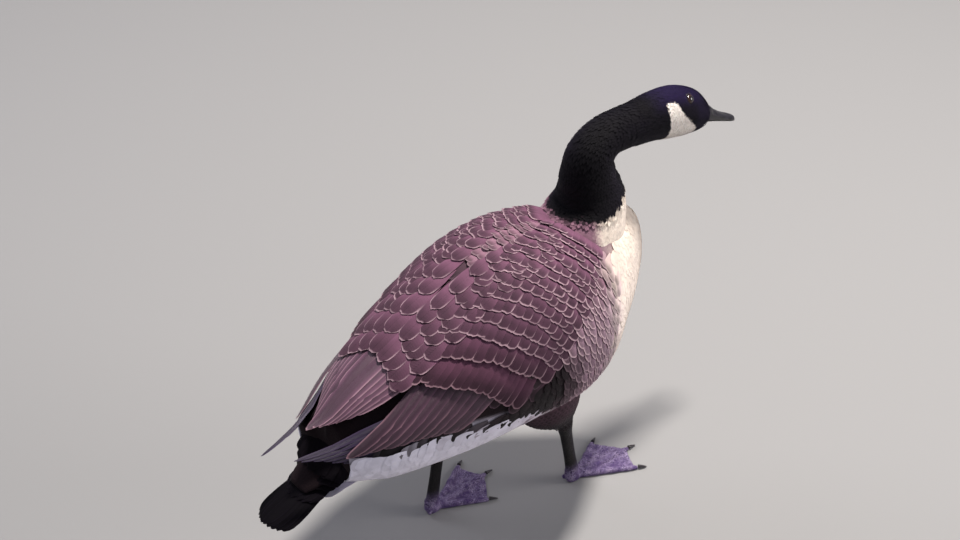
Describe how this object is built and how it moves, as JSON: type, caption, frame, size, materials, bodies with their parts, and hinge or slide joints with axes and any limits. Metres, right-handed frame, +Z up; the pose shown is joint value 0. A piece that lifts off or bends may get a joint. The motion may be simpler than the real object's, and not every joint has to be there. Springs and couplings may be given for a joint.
{
  "type": "canada goose",
  "caption": "Life-size still goose standing on both feet, neck raised and bent forward, wings folded, tail low.",
  "frame": {"origin": "on the floor, under the middle of the bounding box", "axes": "+X towards the bill, +Y to the bird's left, +Z up"},
  "size_m": [0.6738, 0.218, 0.4573],
  "materials": {
    "brown_feather": "matt, pale-edged brown feathers",
    "breast_feather": "matt, soft cream and grey-brown feathers",
    "black_feather": "short black feathers with a faint violet sheen",
    "tail_feather": "smooth black flight feathers",
    "bill": "smooth black horn, half gloss",
    "eye": "wet dark brown",
    "leg_skin": "scaled dark skin, half matt",
    "claw": "black horn"
  },
  "bodies": {
    "root": {"torso": "breast_feather", "tail": "tail_feather", "neck_lower": "black_feather", "neck_upper": "black_feather", "head": "black_feather", "bill_upper": "bill", "bill_lower": "bill", "eye_left": "eye", "wing_left": "brown_feather", "thigh_left": "breast_feather", "shank_left": "leg_skin", "foot_left": "leg_skin", "claw_left_inner": "claw", "claw_left_middle": "claw", "claw_left_outer": "claw", "eye_right": "eye", "wing_right": "brown_feather", "thigh_right": "breast_feather", "shank_right": "leg_skin", "foot_right": "leg_skin", "claw_right_inner": "claw", "claw_right_middle": "claw", "claw_right_outer": "claw"}
  },
  "joints": []
}
